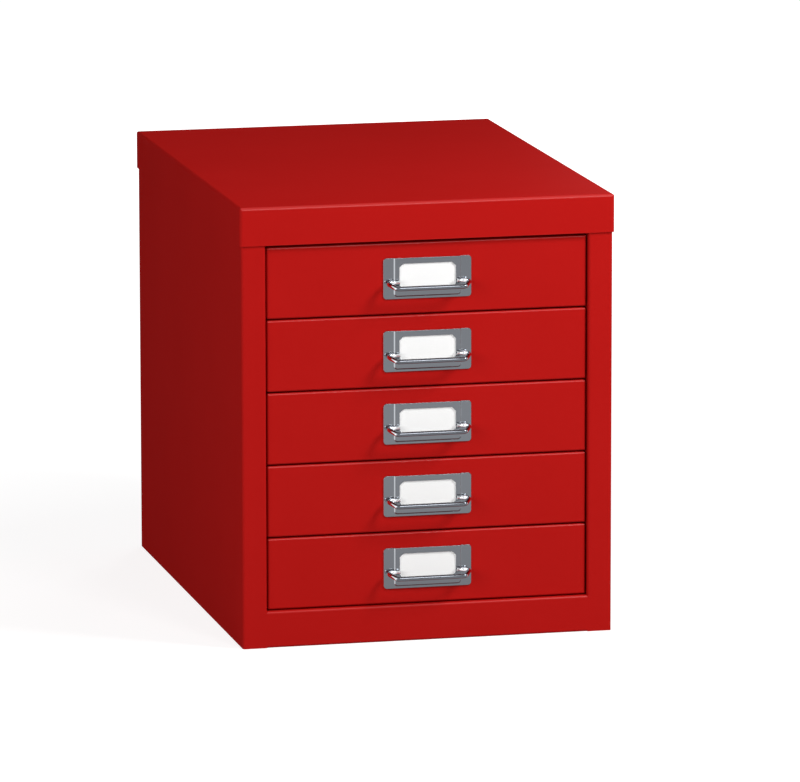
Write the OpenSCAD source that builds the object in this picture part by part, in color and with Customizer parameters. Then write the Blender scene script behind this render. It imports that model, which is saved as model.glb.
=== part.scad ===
// Small five-drawer steel cabinet for the desktop.
// X runs across the front, Y from front to back, Z up.
// The origin is the middle of the underside of the base.

/* [Case] */
// Width over the top cap
cap_w = 279; // [240:1:360]
// Depth over the top cap, without the pulls
cap_d = 380; // [320:1:460]
// Height of the skirt round the top cap
cap_skirt_h = 28.1; // [24:0.1:40]
// Radius of the folded edges of the cap
cap_edge_r = 2.2; // [1.2:0.1:2.6]
// Thickness of the cap's sheet
cap_sheet = 1; // [0.8:0.1:1.1]
// Slip clearance between the cap's skirt and the body
cap_clearance = 0.2; // [0.1:0.05:0.6]
// Thickness of the sheet of the sides, back, base and rails
case_sheet = 1; // [0.7:0.1:1.5]
// Width of the case's welding flanges
case_flange = 12; // [8:0.5:16]
// Inside radius of every fold in the case
fold_r = 0.6; // [0.3:0.1:1]

/* [Front frame] */
// Width of each stile beside the drawers
stile_w = 18; // [14:0.5:26]
// Depth of the fold behind each stile's inner edge
stile_return = 26; // [22:1:40]
// Height of the rail below the drawers
rail_h = 27; // [20:0.5:45]
// Depth of the fold behind the rail's top edge
rail_return = 12; // [6:0.5:14]
// Gap between the rail and the lowest drawer
bottom_gap = 1; // [0.8:0.1:4]
// Gap between the highest drawer and the skirt
top_gap = 2.1; // [1:0.1:6]

/* [Drawers] */
// Number of drawers
drawer_count = 5; // [1:1:7]
// Height from one drawer to the next
drawer_pitch = 53.6; // [50:0.1:90]
// Gap between one drawer front and the next
front_gap = 1.2; // [1:0.1:4]
// Gap at each side of a drawer front
front_side_gap = 1.2; // [1:0.1:3]
// How far the drawer fronts lie behind the frame
front_recess = 2.7; // [1:0.1:5]
// Depth of the fold round a drawer front
front_fold = 12; // [8:0.5:16]
// Radius of a drawer front's folded edges
front_edge_r = 1.3; // [1.1:0.1:2]
// Thickness of a drawer front's sheet
front_sheet = 1; // [0.7:0.1:1.1]

/* [Trays and runners] */
// Thickness of a tray's sheet
tray_sheet = 0.8; // [0.6:0.1:1.2]
// Height of a tray's side walls
tray_wall_h = 43; // [34:0.5:43]
// Height of a tray's back wall
tray_back_h = 38; // [20:0.5:42]
// Width of the flange that a tray runs on
tray_flange = 7; // [5.5:0.1:9]
// Space between a drawer front's skin and the tray
tray_setback = 4; // [3:0.5:6]
// Clear space behind a closed tray
tray_rear_space = 24; // [16:1:60]
// Distance from a tray's back to its stop tabs
stop_from_rear = 50; // [40:1:120]
// Thickness of a runner's sheet
runner_sheet = 1.2; // [0.8:0.1:1.5]
// Width of a runner's legs
runner_leg = 8; // [7:0.1:10]
// Height inside a runner's channel
runner_gap = 4; // [3:0.1:5]
// Play between a tray's flange and the leg it runs on
runner_play = 0.1; // [0.05:0.05:0.4]
// Side play between a tray's flange and the runner
flange_play = 0.8; // [0.4:0.1:1.4]
// Distance between a closed front and the runners that stop it
closed_play = 0.3; // [0.2:0.1:1]
// Height of the stop tab on a tray's flange
stop_tab_h = 2.2; // [1.8:0.1:2.5]
// Drop of the stop lip at the front of a runner
stop_lip_h = 2.1; // [1.8:0.1:2.5]
// Width of the stop tab and of the stop lip
stop_w = 4; // [2:0.5:4.5]
// Width of each rear post, from front to back
post_w = 26; // [16:1:40]
// Space between the rear posts and the back panel
post_rear_space = 12; // [8:1:30]

/* [Card holder] */
// Width of the holder's plate
holder_w = 65.6; // [60:0.1:90]
// Height of the holder's plate
holder_h = 30.2; // [28:0.1:40]
// Corner radius of the plate
holder_corner_r = 2.5; // [1:0.1:5]
// Thickness of the plate
holder_sheet = 0.8; // [0.5:0.1:1]
// Width of the raised pocket
pocket_w = 50.6; // [48:0.1:56]
// Depth of the pocket behind its face
pocket_depth = 1.3; // [1:0.1:2]
// Plate left below the pocket
pocket_bottom_margin = 1.6; // [1.2:0.1:4]
// Run of the slope at the pocket's edges
pocket_slope = 1.5; // [0.3:0.1:1.8]
// Radius of the pocket's lower corners
pocket_corner_r = 2; // [1.2:0.1:3]
// Width of the window
window_w = 42; // [30:0.5:44]
// Height of the window
window_h = 17.6; // [12:0.1:20]
// Border above the window
window_top_margin = 4.1; // [2:0.1:6]
// Slant cut across the window's upper corners
window_top_cut = 2.9; // [0:0.1:5]
// Slant cut across the window's lower corners
window_bottom_cut = 1.9; // [0:0.1:4]
// Thickness of the card
card_sheet = 0.5; // [0.2:0.1:0.8]
// Play round the card in its pocket
card_play = 0.4; // [0.1:0.1:1]
// Play between the card and the back of the pocket's face
card_face_play = 0.05; // [0:0.05:0.2]
// Width of the tongues that hold the plate to the drawer front
tongue_w = 5; // [3:0.5:8]
// Play round each tongue in its slot
tongue_play = 0.2; // [0.1:0.05:0.5]
// Thickness of the tongues
tongue_sheet = 0.8; // [0.5:0.1:1]

/* [Pull] */
// Diameter of the pull's rod
pull_rod_d = 3.4; // [2.5:0.1:4.5]
// Reach of the bar's centre line before the plate's face
pull_reach = 12.5; // [10:0.5:25]
// Length of the front bar between its corners
pull_bar_w = 50.8; // [46:0.2:60]
// Distance between the two rear corners
pull_root_w = 63.2; // [60:0.2:72]
// Distance between the ends that are welded to the pocket
pull_end_gap = 42.6; // [34:0.2:46]
// Height of the ends below the middle of the plate
pull_end_drop = 2.5; // [0:0.1:4]
// Height of the bar below the middle of the plate
pull_bar_drop = 5.5; // [3:0.1:9]
// Bend radius at the front corners, on the rod's centre line
pull_front_r = 3.2; // [2.5:0.1:4]
// Bend radius at the rear corners, on the rod's centre line
pull_rear_r = 2.5; // [2.3:0.1:3.4]
// Depth of the flat ground on the ends where they are welded
pull_flat = 0.25; // [0.1:0.05:0.5]

/* [Hidden] */
DRAWERS = [for (i = [1:drawer_count]) i];
$fn = 48;

// Paint and metal
PAINT = [0.66, 0.09, 0.08];
CHROME = [0.72, 0.73, 0.75];
CARD = [0.97, 0.97, 0.96];

// Overlap of a cutting tool past the face it cuts
cut = 1;
// Thickness of the slices that a hull is drawn over
thin = 0.01;
// Steps round each fold of a sheet
fold_steps = 4;
// How far a rod's bends stand out from its straight runs
bend_swell = 0.02;
// How far a straight run reaches into a bend
bend_overlap = 0.25;

// Case, worked out from the cap inwards
case_h = rail_h + bottom_gap + drawer_count * drawer_pitch - front_gap + top_gap + cap_skirt_h;
body_w = cap_w - 2 * (cap_sheet + cap_clearance);
body_d = cap_d - 2 * (cap_sheet + cap_clearance);
body_h = case_h - cap_sheet;
side_inner_x = body_w / 2 - case_sheet;
body_front_y = -body_d / 2;
body_rear_y = body_d / 2;
opening_x = body_w / 2 - stile_w;
cap_inner_r = cap_edge_r - cap_sheet;
back_front_y = body_rear_y - 2 * case_sheet;

// Drawer fronts
front_w = 2 * (opening_x - front_side_gap);
front_h = drawer_pitch - front_gap;
front_y = body_front_y + front_recess;
front_fold_end_y = front_y + front_fold;

// Trays and the runners that carry them
runner_front_y = front_fold_end_y + closed_play;
runner_rear_y = back_front_y - post_rear_space;
flange_tip_x = opening_x - runner_sheet - flange_play;
tray_side_x = flange_tip_x - tray_flange;
tray_front_y = front_y + front_sheet + tray_setback;
tray_rear_y = back_front_y - tray_rear_space;
stop_tab_y = tray_rear_y - stop_from_rear;

// Card holder, with heights from the middle of a drawer front
holder_face_y = front_y - holder_sheet;
pocket_face_y = holder_face_y - pocket_depth;
pocket_bottom_z = -holder_h / 2 + pocket_bottom_margin;
window_top_z = holder_h / 2 - window_top_margin;
window_bottom_z = window_top_z - window_h;
tongue_x = (holder_w + pocket_w) / 4;

// Height of a drawer front's lower edge, counted from the top drawer down
function drawer_z(i) = rail_h + bottom_gap + (drawer_count - i) * drawer_pitch;
// Height of the middle of a drawer front
function middle_z(i) = drawer_z(i) + front_h / 2;

// ---- Folded sheet: a strip of even thickness along bent lines ----

function unit(v) = v / norm(v);
function left_of(v) = [-v[1], v[0]];
function turned(v, a) = [v[0] * cos(a) - v[1] * sin(a), v[0] * sin(a) + v[1] * cos(a)];
function turn_between(u, v) = atan2(u[0] * v[1] - u[1] * v[0], u * v);

// One face of the strip at fold b between points a and c, off to the left by side
function fold_arc(a, b, c, r, side) =
    let (u = unit(b - a), v = unit(c - b), turn = turn_between(u, v), way = sign(turn),
         start = b - u * r * tan(abs(turn) / 2),
         centre = start + left_of(u) * way * r)
    [for (k = [0:fold_steps]) centre + turned(left_of(u) * (side - way * r), turn * k / fold_steps)];

function strip_face(line, r, side) =
    let (last = len(line) - 1)
    concat(
        [line[0] + left_of(unit(line[1] - line[0])) * side],
        [for (i = [1:1:last - 1]) each fold_arc(line[i - 1], line[i], line[i + 1], r, side)],
        [line[last] + left_of(unit(line[last] - line[last - 1])) * side]);

function reversed(list) = [for (i = [len(list) - 1:-1:0]) list[i]];

// Section of a sheet of thickness t whose middle follows the line
module sheet_section(line, t) {
    middle_r = fold_r + t / 2;
    polygon(concat(strip_face(line, middle_r, t / 2), reversed(strip_face(line, middle_r, -t / 2))));
}

// Lays a section drawn in X and Z along Y
module along_y(y0, y1) {
    translate([0, y1, 0])
        rotate([90, 0, 0])
            linear_extrude(y1 - y0)
                children();
}

// Lays a section drawn in Y and Z along X, about the middle
module along_x(length) {
    rotate([90, 0, 90])
        translate([0, 0, -length / 2])
            linear_extrude(length)
                children();
}

module block(x0, x1, y0, y1, z0, z1) {
    translate([x0, y0, z0])
        cube([x1 - x0, y1 - y0, z1 - z0]);
}

module rounded_rect(x0, x1, y0, y1, r) {
    translate([x0 + r, y0])
        square([x1 - x0 - 2 * r, y1 - y0]);
    translate([x0, y0 + r])
        square([x1 - x0, y1 - y0 - 2 * r]);
    for (x = [x0 + r, x1 - r], y = [y0 + r, y1 - r])
        translate([x, y])
            circle(r);
}

// A block with every edge rounded by r
module soft_block(x0, x1, y0, y1, z0, z1, r) {
    intersection() {
        translate([0, 0, z0])
            linear_extrude(z1 - z0)
                rounded_rect(x0, x1, y0, y1, r);
        along_y(y0, y1)
            rounded_rect(x0, x1, z0, z1, r);
        translate([(x0 + x1) / 2, 0, 0])
            along_x(x1 - x0)
                rounded_rect(y0, y1, z0, z1, r);
    }
}

// ---- Case ----

// Pressed lid with a skirt on all four sides
module top_cap() {
    inner_x = cap_w / 2 - cap_sheet;
    inner_y = cap_d / 2 - cap_sheet;
    skirt_z = case_h - cap_skirt_h;
    color(PAINT)
        difference() {
            soft_block(-cap_w / 2, cap_w / 2, -cap_d / 2, cap_d / 2,
                skirt_z - 2 * cap_edge_r, case_h, cap_edge_r);
            soft_block(-inner_x, inner_x, -inner_y, inner_y,
                skirt_z - 4 * cap_edge_r, case_h - cap_sheet, cap_inner_r);
            block(-cap_w, cap_w, -cap_d, cap_d, skirt_z - 4 * cap_edge_r, skirt_z);
        }
}

// Depth below the top at which the cap's inner fold comes within the slip clearance of the body
function fold_drop() =
    cap_inner_r - sqrt(pow(cap_inner_r, 2) - pow(max(0, cap_inner_r - cap_clearance), 2));

// One folded sheet: stile return, stile, side wall and rear flange.
// The wall ends under the cap's fold, and the cap rests on the top flange, whose root
// leans in to clear that fold. Beside the rail the stile's fold is filled with weld and
// ground flush.
module side_panel() {
    half = case_sheet / 2;
    plan = [
        [opening_x + half, body_front_y + stile_return],
        [opening_x + half, body_front_y + half],
        [body_w / 2 - half, body_front_y + half],
        [body_w / 2 - half, body_rear_y - half],
        [body_w / 2 - case_flange, body_rear_y - half]
    ];
    flange_front_y = body_front_y + stile_return;
    flange_rear_y = back_front_y - case_sheet;
    flange_edge_x = side_inner_x - case_flange;
    root_x = side_inner_x + half;
    wall_top_z = body_h - max(fold_r, fold_drop());
    color(PAINT) {
        linear_extrude(wall_top_z)
            sheet_section(plan, case_sheet);
        block(opening_x, opening_x + 2 * (fold_r + case_sheet), body_front_y,
            body_front_y + case_sheet, 0, rail_h);
        block(flange_edge_x, root_x, flange_front_y, flange_rear_y, case_sheet, 2 * case_sheet);
        along_y(flange_front_y, flange_rear_y)
            polygon([
                [flange_edge_x, body_h],
                [min(root_x, body_w / 2 + cap_clearance - cap_inner_r), body_h],
                [root_x, wall_top_z],
                [root_x, wall_top_z - case_sheet],
                [side_inner_x, wall_top_z - case_sheet],
                [side_inner_x, body_h - case_sheet],
                [flange_edge_x, body_h - case_sheet]
            ]);
    }
}

module right_side() side_panel();

module left_side() mirror([1, 0, 0]) side_panel();

// Flat sheet inside the rear flanges, folded forward along its top
module back_panel() {
    half = case_sheet / 2;
    profile = [
        [back_front_y + half, 0],
        [back_front_y + half, body_h - half],
        [back_front_y - case_flange, body_h - half]
    ];
    top_w = 2 * (side_inner_x - case_flange - cap_clearance);
    wide_h = body_h - 2 * case_sheet;
    half_w = side_inner_x - fold_r;
    color(PAINT) {
        along_x(top_w)
            sheet_section(profile, case_sheet);
        block(-half_w, half_w, back_front_y, back_front_y + case_sheet, 0, wide_h);
    }
}

// Floor of the case with the rail below the drawers folded up at its front
module base_panel() {
    half = case_sheet / 2;
    floor_rear_y = back_front_y;
    notch_y = body_front_y + stile_return;
    profile = [
        [body_front_y + rail_return, rail_h - 2 * case_sheet - fold_r - half],
        [body_front_y + rail_return, rail_h - half],
        [body_front_y + half, rail_h - half],
        [body_front_y + half, half],
        [floor_rear_y - half, half],
        [floor_rear_y - half, case_flange]
    ];
    color(PAINT) {
        along_x(2 * opening_x)
            sheet_section(profile, case_sheet);
        block(-side_inner_x, side_inner_x, notch_y, floor_rear_y - 3 * case_sheet, 0, case_sheet);
    }
}

// Cross rail behind the front of the skirt
module top_rail() {
    half = case_sheet / 2;
    rail_bottom_z = case_h - cap_skirt_h + case_sheet;
    profile = [
        [body_front_y + rail_return, rail_bottom_z + half],
        [body_front_y + half, rail_bottom_z + half],
        [body_front_y + half, body_h - half],
        [body_front_y + stile_return, body_h - half]
    ];
    color(PAINT)
        along_x(2 * opening_x)
            sheet_section(profile, case_sheet);
}

// Hat section that stands between the floor flange and the top flange
module rear_post() {
    half = case_sheet / 2;
    foot = case_flange / 2;
    front_y0 = runner_rear_y - post_w;
    plan = [
        [side_inner_x - half, front_y0 - foot],
        [side_inner_x - half, front_y0 + half],
        [opening_x + half, front_y0 + half],
        [opening_x + half, runner_rear_y - half],
        [side_inner_x - half, runner_rear_y - half],
        [side_inner_x - half, runner_rear_y + foot]
    ];
    color(PAINT)
        translate([0, 0, 2 * case_sheet])
            linear_extrude(body_h - 3 * case_sheet)
                sheet_section(plan, case_sheet);
}

module right_rear_post() rear_post();

module left_rear_post() mirror([1, 0, 0]) rear_post();

// ---- Runners ----

// Height of the top of the leg that carries tray i
function leg_top_z(i) = drawer_z(i) + front_sheet + tray_wall_h - tray_sheet - runner_play;

// Channel that the tray's flange slides in, with a stop lip at its front
module runner(i) {
    half = runner_sheet / 2;
    leg_z = leg_top_z(i) - half;
    keeper_z = leg_top_z(i) + runner_gap + half;
    tip_x = opening_x - runner_leg;
    section = [
        [tip_x, leg_z],
        [opening_x - half, leg_z],
        [opening_x - half, keeper_z],
        [tip_x, keeper_z]
    ];
    color(PAINT) {
        along_y(runner_front_y, runner_rear_y)
            sheet_section(section, runner_sheet);
        block(tip_x, tip_x + stop_w, runner_front_y, runner_front_y + runner_sheet,
            keeper_z - half - stop_lip_h, keeper_z);
    }
}

module right_runner(i) runner(i);

module left_runner(i) mirror([1, 0, 0]) runner(i);

// ---- Drawers ----

// Pan-shaped front with folds all round and slots for the holder's tongues
module drawer_front(i) {
    z0 = drawer_z(i);
    color(PAINT)
        difference() {
            soft_block(-front_w / 2, front_w / 2, front_y, front_fold_end_y + 2 * front_edge_r,
                z0, z0 + front_h, front_edge_r);
            soft_block(-front_w / 2 + front_sheet, front_w / 2 - front_sheet,
                front_y + front_sheet, front_fold_end_y + 4 * front_edge_r,
                z0 + front_sheet, z0 + front_h - front_sheet, front_edge_r - front_sheet);
            block(-front_w, front_w, front_fold_end_y, front_fold_end_y + 5 * front_edge_r,
                z0 - cut, z0 + front_h + cut);
            for (side = [-1, 1])
                translate([side * tongue_x, 0, middle_z(i)])
                    block(-tongue_sheet / 2 - tongue_play, tongue_sheet / 2 + tongue_play,
                        front_y - cut, front_y + front_sheet + cut,
                        -tongue_w / 2 - tongue_play, tongue_w / 2 + tongue_play);
        }
}

// Tray with flanges that run in the channels, and the tabs that stop it
module drawer_tray(i) {
    half = tray_sheet / 2;
    floor_z = drawer_z(i) + front_sheet + half;
    flange_z = drawer_z(i) + front_sheet + tray_wall_h - half;
    wall_x = tray_side_x - half;
    section = [
        [-flange_tip_x, flange_z],
        [-wall_x, flange_z],
        [-wall_x, floor_z],
        [wall_x, floor_z],
        [wall_x, flange_z],
        [flange_tip_x, flange_z]
    ];
    end_w = 2 * wall_x;
    end_top_z = floor_z - half + tray_back_h;
    back = [
        [tray_rear_y + tray_flange / 2, end_top_z],
        [tray_rear_y - half, end_top_z],
        [tray_rear_y - half, floor_z]
    ];
    color(PAINT) {
        difference() {
            along_y(tray_front_y, tray_rear_y)
                sheet_section(section, tray_sheet);
            for (side = [-1, 1])
                translate([side * (tray_side_x + tray_flange / 2), 0, 0])
                    block(-tray_flange / 2, tray_flange, tray_front_y - cut, runner_front_y,
                        flange_z - cut, flange_z + cut);
        }
        along_x(end_w)
            sheet_section(back, tray_sheet);
        block(-end_w / 2, end_w / 2, tray_front_y, tray_front_y + tray_sheet, floor_z, end_top_z);
        for (side = [-1, 1])
            translate([side * (opening_x - runner_leg + stop_w / 2), 0, 0])
                block(-stop_w / 2, stop_w / 2, stop_tab_y, stop_tab_y + tray_sheet,
                    flange_z, flange_z + half + stop_tab_h);
    }
}

// ---- Card holder ----

// Raised part of the plate: wide at the plate and narrower at its face
module pocket_form(inset, base_y, face_y) {
    top_z = holder_h / 2;
    hull() {
        along_y(base_y - thin, base_y)
            pocket_outline(inset, top_z);
        along_y(face_y, face_y + thin)
            pocket_outline(inset + pocket_slope, top_z);
    }
}

module pocket_outline(inset, top_z) {
    x = pocket_w / 2 - inset;
    z = pocket_bottom_z + inset;
    translate([-x, z + pocket_corner_r])
        square([2 * x, top_z - z - pocket_corner_r]);
    for (side = [-1, 1])
        translate([side * (x - pocket_corner_r), z + pocket_corner_r])
            circle(pocket_corner_r, $fn = 32);
}

// Window with slant corners, drawn in X and Z about the middle of the plate
module window_outline() {
    x = window_w / 2;
    a = window_top_cut;
    b = window_bottom_cut;
    polygon([
        [-x, window_top_z - a],
        [-x + a, window_top_z],
        [x - a, window_top_z],
        [x, window_top_z - a],
        [x, window_bottom_z + b],
        [x - b, window_bottom_z],
        [-x + b, window_bottom_z],
        [-x, window_bottom_z + b]
    ]);
}

// Tongue on the back of the plate, through the front and folded over behind it
module tongue() {
    behind_y = front_y + front_sheet;
    block(-tongue_sheet / 2, tongue_sheet / 2, front_y - holder_sheet / 2, behind_y + tongue_sheet,
        -tongue_w / 2, tongue_w / 2);
    block(-tongue_sheet / 2, tongue_w - tongue_sheet, behind_y, behind_y + tongue_sheet,
        -tongue_w / 2, tongue_w / 2);
}

module card_holder(i) {
    color(CHROME)
        translate([0, 0, middle_z(i)]) {
            difference() {
                union() {
                    along_y(holder_face_y, front_y)
                        rounded_rect(-holder_w / 2, holder_w / 2, -holder_h / 2, holder_h / 2,
                            holder_corner_r);
                    pocket_form(0, holder_face_y + holder_sheet / 2, pocket_face_y);
                }
                difference() {
                    pocket_form(holder_sheet, front_y + holder_sheet, pocket_face_y + holder_sheet);
                    block(-holder_w, holder_w, front_y + cut, front_y + 2 * cut, -holder_h, holder_h);
                }
                along_y(pocket_face_y - cut, front_y + cut)
                    window_outline();
                block(-pocket_w / 2 + holder_sheet + pocket_slope, pocket_w / 2 - holder_sheet - pocket_slope,
                    pocket_face_y + holder_sheet, front_y + cut, holder_h / 2 - cut, holder_h / 2 + cut);
            }
            for (side = [-1, 1])
                translate([side * tongue_x, 0, 0])
                    mirror([side < 0 ? 1 : 0, 0, 0])
                        tongue();
        }
}

// Blank card that stands in the pocket, clear of the pocket's round lower corners
module label_card(i) {
    corner_play = max(card_play, pocket_corner_r * (1 - cos(45)));
    half_w = pocket_w / 2 - holder_sheet - pocket_slope - corner_play;
    bottom_z = pocket_bottom_z + holder_sheet + pocket_slope + corner_play;
    front_face_y = pocket_face_y + holder_sheet + card_face_play;
    color(CARD)
        translate([0, 0, middle_z(i)])
            block(-half_w, half_w, front_face_y, front_face_y + card_sheet,
                bottom_z, holder_h / 2 - card_play);
}

// ---- Pull ----

// A round rod bent in the XY plane along a line, each corner with its own radius.
// The bends swell by a hair and the straight runs reach a little way into them.
module bent_rod(line, radii, d) {
    last = len(line) - 1;
    function trim(k) = k == 0 || k == last ? 0
        : radii[k - 1] * tan(abs(turn_between(unit(line[k] - line[k - 1]),
            unit(line[k + 1] - line[k]))) / 2) - bend_overlap;
    for (k = [0:last - 1]) {
        run = line[k + 1] - line[k];
        way = unit(run);
        translate(line[k] + way * trim(k))
            rotate([0, 0, atan2(way[1], way[0])])
                rotate([0, 90, 0])
                    cylinder(h = norm(run) - trim(k) - trim(k + 1), d = d);
    }
    for (k = [1:last - 1]) {
        u = unit(line[k] - line[k - 1]);
        v = unit(line[k + 1] - line[k]);
        turn = turn_between(u, v);
        centre = line[k] - u * (trim(k) + bend_overlap) + left_of(u) * sign(turn) * radii[k - 1];
        start = -left_of(u) * sign(turn);
        translate(centre)
            rotate([0, 0, atan2(start[1], start[0]) + min(turn, 0)])
                rotate_extrude(angle = abs(turn))
                    translate([radii[k - 1], 0])
                        circle(r = d / 2 + bend_swell);
    }
}

// Bar with two arms whose ends turn in and lie on the pocket's face
module pull(i) {
    end_reach = pocket_depth + pull_rod_d / 2 - pull_flat;
    forward = pull_reach - end_reach;
    drop = pull_bar_drop - pull_end_drop;
    slant = atan2(drop, forward);
    length = norm([forward, drop]);
    line = [
        [-pull_end_gap / 2, 0],
        [-pull_root_w / 2, 0],
        [-pull_bar_w / 2, -length],
        [pull_bar_w / 2, -length],
        [pull_root_w / 2, 0],
        [pull_end_gap / 2, 0]
    ];
    radii = [pull_rear_r, pull_front_r, pull_front_r, pull_rear_r];
    color(CHROME)
        difference() {
            translate([0, holder_face_y - end_reach, middle_z(i) - pull_end_drop])
                rotate([slant, 0, 0])
                    bent_rod(line, radii, pull_rod_d);
            block(-holder_w, holder_w, pocket_face_y, front_y, drawer_z(i), drawer_z(i) + front_h);
        }
}

top_cap();
left_side();
right_side();
back_panel();
base_panel();
top_rail();
left_rear_post();
right_rear_post();
for (i = DRAWERS) {
    left_runner(i);
    right_runner(i);
    drawer_front(i);
    drawer_tray(i);
    card_holder(i);
    pull(i);
    label_card(i);
}
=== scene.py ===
import math

import bmesh
import bpy
from mathutils import Matrix, Vector


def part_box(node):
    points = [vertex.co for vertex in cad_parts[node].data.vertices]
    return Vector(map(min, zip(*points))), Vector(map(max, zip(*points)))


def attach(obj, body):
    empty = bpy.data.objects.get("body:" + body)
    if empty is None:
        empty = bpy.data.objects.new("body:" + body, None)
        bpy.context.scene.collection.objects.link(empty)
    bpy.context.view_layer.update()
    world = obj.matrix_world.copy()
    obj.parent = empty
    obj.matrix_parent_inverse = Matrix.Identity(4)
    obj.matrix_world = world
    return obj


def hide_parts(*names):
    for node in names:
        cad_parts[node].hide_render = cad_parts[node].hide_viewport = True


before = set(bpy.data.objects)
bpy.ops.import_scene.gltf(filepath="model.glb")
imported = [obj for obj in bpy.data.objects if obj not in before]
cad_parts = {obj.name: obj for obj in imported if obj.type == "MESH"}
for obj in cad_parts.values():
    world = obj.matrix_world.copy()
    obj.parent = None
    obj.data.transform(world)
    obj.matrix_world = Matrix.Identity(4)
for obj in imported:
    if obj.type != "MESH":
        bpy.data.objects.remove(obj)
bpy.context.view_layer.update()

# ---- Camera ----
# A long lens about five and a half metres off, to the left of the drawers and a little above
# the cap, which it looks down on.
look_down, roll, turn = 0.1865, 0.0012, -0.2317
lens_data = bpy.data.cameras.new("camera")
lens_data.sensor_width = 36
lens_data.lens = 333.96
lens_data.clip_start = 0.1
lens_data.clip_end = 60
camera = bpy.data.objects.new("camera", lens_data)
camera.location = (-1.2355, -5.3417, 1.185)
camera.rotation_euler = (math.pi / 2 - look_down, roll, turn)
bpy.context.scene.collection.objects.link(camera)
bpy.context.scene.camera = camera
bpy.context.scene.view_settings.view_transform = "Standard"


# ---- Bench top ----
# The white table that the cabinet is shown on. It is a matt sheet that runs out past the view
# on every side, and it keeps the cabinet's soft shadow.
bench_r = 25
shadow_r, bright_r = 0.35, 0.9


def from_hex(code):
    """sRGB hex colour as linear red, green, blue and alpha."""
    parts = [int(code[i : i + 2], 16) / 255 for i in (1, 3, 5)]
    return [p / 12.92 if p <= 0.04045 else ((p + 0.055) / 1.055) ** 2.4 for p in parts] + [1]


def add_node(tree, kind, settings=(), inputs=(), links=()):
    """Adds one node: its settings, its own socket values, and what feeds its sockets."""
    node = tree.nodes.new(kind)
    for name, value in dict(settings).items():
        setattr(node, name, value)
    for name, value in dict(inputs).items():
        node.inputs[name].default_value = value
    for name, output in dict(links).items():
        tree.links.new(output, node.inputs[name])
    return node


def new_material(name):
    """An empty node material and its output node."""
    material = bpy.data.materials.new(name)
    material.use_nodes = True
    material.node_tree.nodes.clear()
    return material, material.node_tree, add_node(material.node_tree, "ShaderNodeOutputMaterial")


def seen_rays(tree):
    """1 on rays that show a thing, directly, in metal or through glass, and 0 on all others."""
    path = add_node(tree, "ShaderNodeLightPath")
    seen = path.outputs["Is Camera Ray"]
    for kind in ("Is Glossy Ray", "Is Transmission Ray"):
        either = add_node(
            tree, "ShaderNodeMath", {"operation": "MAXIMUM"}, links={0: seen, 1: path.outputs[kind]}
        )
        seen = either.outputs[0]
    return seen


def object_from(bm, name):
    """A mesh object at the origin from a bmesh, which is freed."""
    mesh = bpy.data.meshes.new(name)
    bm.to_mesh(mesh)
    bm.free()
    made = bpy.data.objects.new(name, mesh)
    bpy.context.scene.collection.objects.link(made)
    return made


bm = bmesh.new()
bmesh.ops.create_circle(bm, cap_ends=True, segments=96, radius=bench_r)
bench = object_from(bm, "bench_top")

# Matt laminate: it scatters evenly. Where it is seen, directly or in metal, it is made up to
# full white, less near the cabinet, whose shadow stays, than far off, where the light falls away.
laminate, tree, output = new_material("matt_white_laminate")
scatter = add_node(tree, "ShaderNodeBsdfDiffuse", inputs={"Color": from_hex("#A0A0A0")})
place = add_node(tree, "ShaderNodeTexCoord").outputs["Object"]
away = add_node(tree, "ShaderNodeVectorMath", {"operation": "LENGTH"}, links={0: place})
near_far = add_node(
    tree, "ShaderNodeMapRange",
    inputs={"From Min": shadow_r, "From Max": bright_r, "To Min": 0.82, "To Max": 0.98},
    links={"Value": away.outputs["Value"]},
)
lift = add_node(
    tree, "ShaderNodeMath", {"operation": "MULTIPLY"},
    links={0: seen_rays(tree), 1: near_far.outputs[0]},
)
glow = add_node(tree, "ShaderNodeEmission", links={"Strength": lift.outputs[0]})
both = add_node(
    tree, "ShaderNodeAddShader", links={0: scatter.outputs[0], 1: glow.outputs[0]}
)
tree.links.new(both.outputs[0], output.inputs["Surface"])
bench.data.materials.append(laminate)


# ---- Studio light ----
# A small, near soft box high on the right draws the shadows and a wide one on the left fills
# them. One in front puts the bright lines on the chrome, one lights the back, and the room
# adds a little from all round.
def soft_box(name, place, aim, width, height, power):
    """An area lamp with its size in metres and its power in watts, aimed at a point."""
    lamp = bpy.data.lights.new(name, "AREA")
    lamp.shape = "RECTANGLE"
    lamp.size = width
    lamp.size_y = height
    lamp.energy = power
    box = bpy.data.objects.new(name, lamp)
    box.location = place
    box.rotation_euler = (Vector(aim) - Vector(place)).to_track_quat("-Z", "Y").to_euler()
    bpy.context.scene.collection.objects.link(box)


soft_box("right_box", (0.81, -0.74, 1.025), (0.05, -0.19, 0.2), 0.33, 0.33, 12.1)
soft_box("left_box", (-1.8, -1.6, 0.9), (0, -0.19, 0.15), 1.2, 1.2, 22.8)
soft_box("front_box", (0.4, -1.9, 1.3), (0, -0.19, 0.15), 0.4, 0.4, 8)
soft_box("back_box", (1.2, 2.4, 0.6), (0, 0.19, 0.15), 0.8, 0.8, 20)

# The room is white where it is seen and gives a fifth of that as light.
room = bpy.data.worlds.new("white_room")
bpy.context.scene.world = room
room.use_nodes = True
tree = room.node_tree
level = add_node(
    tree, "ShaderNodeMapRange", inputs={"To Min": 0.2, "To Max": 1},
    links={"Value": seen_rays(tree)},
)
backdrop = tree.nodes["Background"]
backdrop.inputs["Color"].default_value = from_hex("#FFFFFF")
tree.links.new(level.outputs[0], backdrop.inputs["Strength"])

# ---- Painted case, runners and trays ----
# Folded and spot-welded mild steel sheet: base, sides, back, rails, posts, runners, cap,
# drawer fronts and trays, all painted in one colour before the drawers are hung.
painted = [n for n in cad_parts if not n.startswith(("card_", "pull_", "label_"))]

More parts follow.
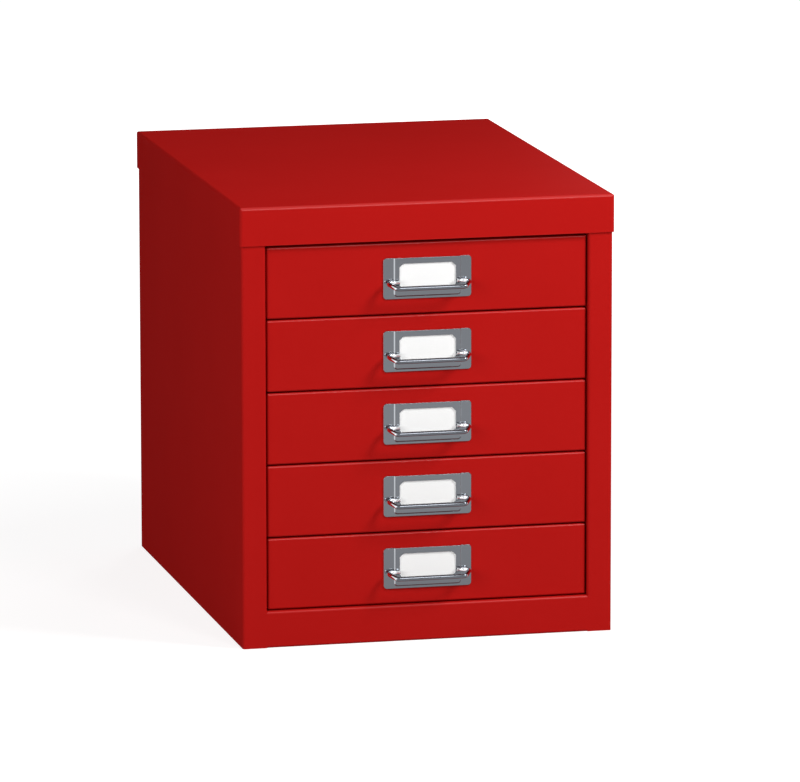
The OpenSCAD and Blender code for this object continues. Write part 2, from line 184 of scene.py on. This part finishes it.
# Satin red polyester powder coat on steel: a deep even red with a faint orange peel and a
# soft, low gloss, higher on the folds that face forward and up. The peel is about 1 mm across
# and is drawn 2.5 mm across, so that it shows.
mix_a, mix_b, mixed = 6, 7, 2  # a colour mix's sockets
powder_coat, tree, output = new_material("satin_red_powder_coat")
place = add_node(tree, "ShaderNodeTexCoord").outputs["Object"]
cloud = add_node(
    tree, "ShaderNodeTexNoise", inputs={"Scale": 1 / 0.06, "Detail": 2, "Roughness": 0.5},
    links={"Vector": place},
)
peel = add_node(
    tree, "ShaderNodeTexNoise", inputs={"Scale": 1 / 0.0025, "Detail": 2, "Roughness": 0.5},
    links={"Vector": place},
)
red = add_node(
    tree, "ShaderNodeMix", {"data_type": "RGBA"},
    inputs={mix_a: from_hex("#B51613"), mix_b: from_hex("#BB1816")},
    links={"Factor": cloud.outputs["Fac"]},
)
gloss = add_node(
    tree, "ShaderNodeMapRange", inputs={"To Min": 0.28, "To Max": 0.36},
    links={"Value": cloud.outputs["Fac"]},
)
relief = add_node(
    tree, "ShaderNodeBump", inputs={"Strength": 0.12, "Distance": 0.0001},
    links={"Height": peel.outputs["Fac"]},
)
normal = add_node(tree, "ShaderNodeTexCoord").outputs["Normal"]
facing = add_node(tree, "ShaderNodeSeparateXYZ", links={0: normal})
fold = add_node(
    tree, "ShaderNodeMath", {"operation": "MULTIPLY"},
    links={0: facing.outputs["Y"], 1: facing.outputs["Z"]},
)
skin = add_node(
    tree, "ShaderNodeMapRange",
    inputs={"From Min": -0.05, "From Max": -0.4, "To Min": 0.009, "To Max": 0.085},
    links={"Value": fold.outputs[0]},
)
paint = add_node(
    tree, "ShaderNodeBsdfPrincipled",
    inputs={"Specular IOR Level": 0, "Coat IOR": 4, "Coat Roughness": 0.32},
    links={
        "Base Color": red.outputs[mixed],
        "Roughness": gloss.outputs[0],
        "Coat Weight": skin.outputs[0],
        "Normal": relief.outputs[0],
        "Coat Normal": relief.outputs[0],
    },
)
tree.links.new(paint.outputs[0], output.inputs["Surface"])
for name in painted:
    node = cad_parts[name]
    node.data.materials.clear()
    node.data.materials.append(powder_coat)


# ---- Card holders ----
# One chrome-plated steel stamping on each drawer front, held by tongues behind it: a flat
# plate with a raised pocket that is open along its top, and a window with slant corners
# punched through its face.
plate_w, plate_h, plate_r, plate_t = 0.0656, 0.0302, 0.0025, 0.0008
pocket_x, pocket_z, pocket_r = 0.0253, -0.0135, 0.0028
pocket_deep, pocket_run = 0.0013, 0.0011
fold_bevel, rim_bevel = 0.00045, 0.00025
window_x, window_top, window_low = 0.021, 0.011, -0.0066
top_slant, low_slant = 0.0029, 0.0019
fold_angle, rim_angle = math.radians(25), math.radians(50)
touch, level_y = 1e-7, 1e-6
least_aside, most_aside, glint_fade = 0.5, 0.72, 0.004


def cut_face(bm, face, co, no):
    """Splits a face along a plane and returns the part behind the plane."""
    geom = [face, *face.edges, *face.verts]
    found = bmesh.ops.bisect_plane(
        bm, geom=geom, dist=touch, plane_co=co, plane_no=no
    )["geom"]
    for piece in found:
        if isinstance(piece, bmesh.types.BMFace):
            if (piece.calc_center_median() - Vector(co)).dot(Vector(no)) < 0:
                return piece
    return face


def stamp_holder(name, middle, face_y):
    """A holder whose flange has its middle and its front face at the given height and depth."""
    bm = bmesh.new()
    bmesh.ops.create_grid(
        bm, x_segments=1, y_segments=1, size=0.5,
        matrix=Matrix.Translation((0, face_y, middle))
        @ Matrix.Rotation(math.radians(90), 4, "X")
        @ Matrix.Diagonal((plate_w, plate_h, 1, 1)),
    )
    bmesh.ops.bevel(
        bm, geom=bm.verts[:], offset=plate_r, segments=8, profile=0.5,
        affect="VERTICES", material=-1,
    )
    pocket = bm.faces[:][0]
    for side in (-1, 1):
        pocket = cut_face(bm, pocket, (side * pocket_x, face_y, middle), (side, 0, 0))
    pocket = cut_face(bm, pocket, (0, face_y, middle + pocket_z), (0, 0, -1))
    for side in (-1, 1):
        for angle in (15, 30, 45, 60, 75):
            way = Vector((side * math.cos(math.radians(angle)), 0, -math.sin(math.radians(angle))))
            centre = Vector((side * (pocket_x - pocket_r), face_y, middle + pocket_z + pocket_r))
            pocket = cut_face(bm, pocket, centre + way * pocket_r, way)
    flange = [f for f in bm.faces if f is not pocket]
    bmesh.ops.dissolve_faces(bm, faces=flange, use_verts=False)
    bmesh.ops.inset_region(
        bm, faces=[pocket], use_boundary=False, use_even_offset=True,
        thickness=pocket_run, depth=pocket_deep,
    )
    folds = [
        e for e in bm.edges
        if len(e.link_faces) == 2 and e.calc_face_angle(0) > fold_angle
    ]
    bmesh.ops.bevel(
        bm, geom=folds, offset=fold_bevel, segments=4, profile=0.5, affect="EDGES", material=-1
    )
    y = face_y - pocket_deep
    raised = [f for f in bm.faces if abs(f.calc_center_median().y - y) < level_y]
    window = max(raised, key=lambda f: f.calc_area())
    window = cut_face(bm, window, (0, y, middle + window_top), (0, 0, 1))
    window = cut_face(bm, window, (0, y, middle + window_low), (0, 0, -1))
    for side in (-1, 1):
        window = cut_face(bm, window, (side * window_x, y, middle), (side, 0, 0))
    for side in (-1, 1):
        for edge_z, up, slant in ((window_top, 1, top_slant), (window_low, -1, low_slant)):
            corner = Vector((side * (window_x - slant), y, middle + edge_z))
            window = cut_face(bm, window, corner, (side, 0, up))
    bmesh.ops.delete(bm, geom=[window], context="FACES")
    bmesh.ops.remove_doubles(bm, verts=bm.verts[:], dist=touch)
    for face in bm.faces:
        face.smooth = True
    holder = object_from(bm, name)
    sheet = holder.modifiers.new("sheet", "SOLIDIFY")
    sheet.thickness = plate_t
    sheet.offset = -1
    sheet.use_even_offset = True
    rim = holder.modifiers.new("tumbled_rim", "BEVEL")
    rim.width = rim_bevel
    rim.segments = 3
    rim.limit_method = "ANGLE"
    rim.angle_limit = rim_angle
    holder.modifiers.new("flat_faces", "WEIGHTED_NORMAL").keep_sharp = True
    return holder


def chrome_plate(name, flat_colour, highlight_colour, smoothest, haziest, glint_from_y=None):
    """Chrome over nickel on steel: a bluish mirror with a slight haze in patches of 4 mm.

    Its tone goes from one colour on the face to a lighter one where the metal turns to either side:
    a painted highlight. When a depth is given, that painted highlight also covers all behind it.
    """
    metal, tree, output = new_material(name)
    place = add_node(tree, "ShaderNodeTexCoord").outputs["Object"]
    haze = add_node(
        tree, "ShaderNodeTexNoise", inputs={"Scale": 1 / 0.004, "Detail": 3, "Roughness": 0.6},
        links={"Vector": place},
    )
    polish = add_node(
        tree, "ShaderNodeMapRange", inputs={"To Min": smoothest, "To Max": haziest},
        links={"Value": haze.outputs["Fac"]},
    )
    normal = add_node(tree, "ShaderNodeTexCoord").outputs["Normal"]
    facing = add_node(tree, "ShaderNodeSeparateXYZ", links={0: normal})
    # Painted highlight: the colour turns lighter where the surface faces to either side.
    aside = add_node(
        tree, "ShaderNodeMath", {"operation": "ABSOLUTE"}, links={0: facing.outputs["X"]}
    )
    painted_highlight = add_node(
        tree, "ShaderNodeMapRange", inputs={"From Min": least_aside, "From Max": most_aside},
        links={"Value": aside.outputs[0]},
    )
    # The same painted highlight on all behind the given depth.
    if glint_from_y is not None:
        depth = add_node(tree, "ShaderNodeSeparateXYZ", links={0: place})
        end_glint = add_node(
            tree, "ShaderNodeMapRange",
            inputs={"From Min": glint_from_y - glint_fade, "From Max": glint_from_y},
            links={"Value": depth.outputs["Y"]},
        )
        painted_highlight = add_node(
            tree, "ShaderNodeMath", {"operation": "MAXIMUM"},
            links={0: painted_highlight.outputs[0], 1: end_glint.outputs[0]},
        )
    tone = add_node(
        tree, "ShaderNodeMix", {"data_type": "RGBA"},
        inputs={mix_a: from_hex(flat_colour), mix_b: from_hex(highlight_colour)},
        links={"Factor": painted_highlight.outputs[0]},
    )
    plating = add_node(
        tree, "ShaderNodeBsdfPrincipled", inputs={"Metallic": 1},
        links={"Base Color": tone.outputs[mixed], "Roughness": polish.outputs[0]},
    )
    tree.links.new(plating.outputs[0], output.inputs["Surface"])
    return metal


# Thin decorative chrome on the stamped sheet: a smoky grey mirror, a little hazy, with a painted
# highlight that makes it lighter where the side folds turn to either side.
smoky_chrome = chrome_plate("smoky_chrome_on_sheet", "#6A6D72", "#B2B6BB", 0.05, 0.11)

drawers = sorted(int(n.split("_")[-1]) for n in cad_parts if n.startswith("drawer_front_"))
for number in drawers:
    low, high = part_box(f"drawer_front_{number}")
    holder = stamp_holder(f"chrome_card_holder_{number}", (low.z + high.z) / 2, low.y - plate_t)
    holder.data.materials.append(smoky_chrome)
    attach(holder, f"drawer_{number}")
    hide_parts(f"card_holder_{number}")

# ---- Cards ----
# A blank slip of index card, cut to the pocket, stands loose in each one behind the window. It
# is dropped in from above, through the pocket's open top.

# Uncoated white index card: even, matt and slightly fibrous, with a faint painted glow that
# makes it whiter than its light alone would. The fibres are drawn 1.5 mm long, so that they show.
card_stock, tree, output = new_material("white_index_card")
place = add_node(tree, "ShaderNodeTexCoord").outputs["Object"]
fibre = add_node(
    tree, "ShaderNodeTexNoise", inputs={"Scale": 1 / 0.0015, "Detail": 4, "Roughness": 0.7},
    links={"Vector": place},
)
white = add_node(
    tree, "ShaderNodeMix", {"data_type": "RGBA"},
    inputs={mix_a: from_hex("#FAFAF8"), mix_b: from_hex("#FFFFFF")},
    links={"Factor": fibre.outputs["Fac"]},
)
tooth = add_node(
    tree, "ShaderNodeBump", inputs={"Strength": 0.2, "Distance": 0.00005},
    links={"Height": fibre.outputs["Fac"]},
)
paper = add_node(
    tree, "ShaderNodeBsdfPrincipled",
    inputs={
        "Roughness": 0.9,
        "Specular IOR Level": 0.2,
        # The emission is a painted glow: the card is no lamp.
        "Emission Color": from_hex("#F6F9FF"),
        "Emission Strength": 0.045,
    },
    links={"Base Color": white.outputs[mixed], "Normal": tooth.outputs[0]},
)
tree.links.new(paper.outputs[0], output.inputs["Surface"])
for number in drawers:
    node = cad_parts[f"label_card_{number}"]
    node.data.materials.clear()
    node.data.materials.append(card_stock)

# ---- Pulls ----
# Round steel rod, bent to a bar with two arms, chrome-plated, and welded by its turned-in
# ends to the border of the pocket.
rod_r, rod_sides, bend_step = 0.0017, 28, 9
bar_half, root_half, end_half = 0.0254, 0.0316, 0.0213
bar_reach, end_drop, bar_drop = 0.0125, 0.0025, 0.0055
# The last value is how far in front of the drawer front the painted highlight on the rod's rear
# ends reaches.
front_bend, rear_bend, ground_flat, glint_ends = 0.0032, 0.0025, 0.00025, 0.006


def bend_pull(name, middle, face_y):
    """A pull on the holder with the same middle and face. It is bent flat, then tipped down."""
    end_reach = pocket_deep + rod_r - ground_flat
    forward = bar_reach - end_reach
    drop = bar_drop - end_drop
    length = math.hypot(forward, drop)
    line = [
        Vector((-end_half, 0, 0)),
        Vector((-root_half, 0, 0)),
        Vector((-bar_half, -length, 0)),
        Vector((bar_half, -length, 0)),
        Vector((root_half, 0, 0)),
        Vector((end_half, 0, 0)),
    ]
    bends = [0, rear_bend, front_bend, front_bend, rear_bend, 0]
    ways = [(b - a).normalized() for a, b in zip(line, line[1:])]
    trims = [0]
    for bend_r, before, after in zip(bends[1:-1], ways, ways[1:]):
        trims.append(bend_r * math.tan(before.angle(after) / 2))
    trims.append(0)
    bm = bmesh.new()
    ring = bmesh.ops.create_circle(
        bm, cap_ends=False, segments=rod_sides, radius=rod_r,
        matrix=Matrix.Translation(line[0]) @ Matrix.Rotation(math.radians(90), 4, "Y"),
    )["verts"]
    edges = bm.edges[:]
    for step, way in enumerate(ways):
        run = (line[step + 1] - line[step]).length - trims[step] - trims[step + 1]
        grown = bmesh.ops.extrude_edge_only(bm, edges=edges)["geom"]
        edges = [g for g in grown if isinstance(g, bmesh.types.BMEdge)]
        ring = [g for g in grown if isinstance(g, bmesh.types.BMVert)]
        bmesh.ops.translate(bm, verts=ring, vec=way * run)
        if step + 1 < len(ways):
            after = ways[step + 1]
            bend = way.angle(after)
            hand = 1 if way.cross(after).z > 0 else -1
            side = Vector((-way.y, way.x, 0)) * hand
            corner = line[step + 1] - way * trims[step + 1] + side * bends[step + 1]
            spun = bmesh.ops.spin(
                bm, geom=edges + ring, cent=corner, axis=(0, 0, hand), angle=bend,
                steps=max(4, round(math.degrees(bend) / bend_step)), use_duplicate=False,
            )["geom_last"]
            edges = [g for g in spun if isinstance(g, bmesh.types.BMEdge)]
    bmesh.ops.transform(
        bm, verts=bm.verts[:],
        matrix=Matrix.Translation((0, face_y - end_reach, middle - end_drop))
        @ Matrix.Rotation(math.atan2(drop, forward), 4, "X"),
    )
    bmesh.ops.remove_doubles(bm, verts=bm.verts[:], dist=touch)
    bmesh.ops.bisect_plane(
        bm, geom=bm.verts[:] + bm.edges[:] + bm.faces[:], dist=touch,
        plane_co=(0, face_y - pocket_deep, 0), plane_no=(0, 1, 0), clear_outer=True,
    )
    bmesh.ops.holes_fill(bm, edges=[e for e in bm.edges if e.is_boundary])
    bmesh.ops.recalc_face_normals(bm, faces=bm.faces[:])
    for face in bm.faces:
        face.smooth = len(face.verts) == 4
    return object_from(bm, name)


# Bright chrome on the drawn rod: a dark, clear mirror along the bar, with a painted highlight
# that makes it nearly white at the ends and lighter where it turns to either side.
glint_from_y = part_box(f"drawer_front_{drawers[0]}")[0].y - glint_ends
bright_chrome = chrome_plate("bright_chrome_on_rod", "#5F6268", "#E6EAEE", 0.04, 0.09, glint_from_y)

for number in drawers:
    low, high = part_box(f"drawer_front_{number}")
    pull = bend_pull(f"chrome_pull_{number}", (low.z + high.z) / 2, low.y - plate_t)
    pull.data.materials.append(bright_chrome)
    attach(pull, f"drawer_{number}")
    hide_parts(f"pull_{number}")

# ---- Finish ----
# The view layer is brought up to date.
bpy.context.view_layer.update()
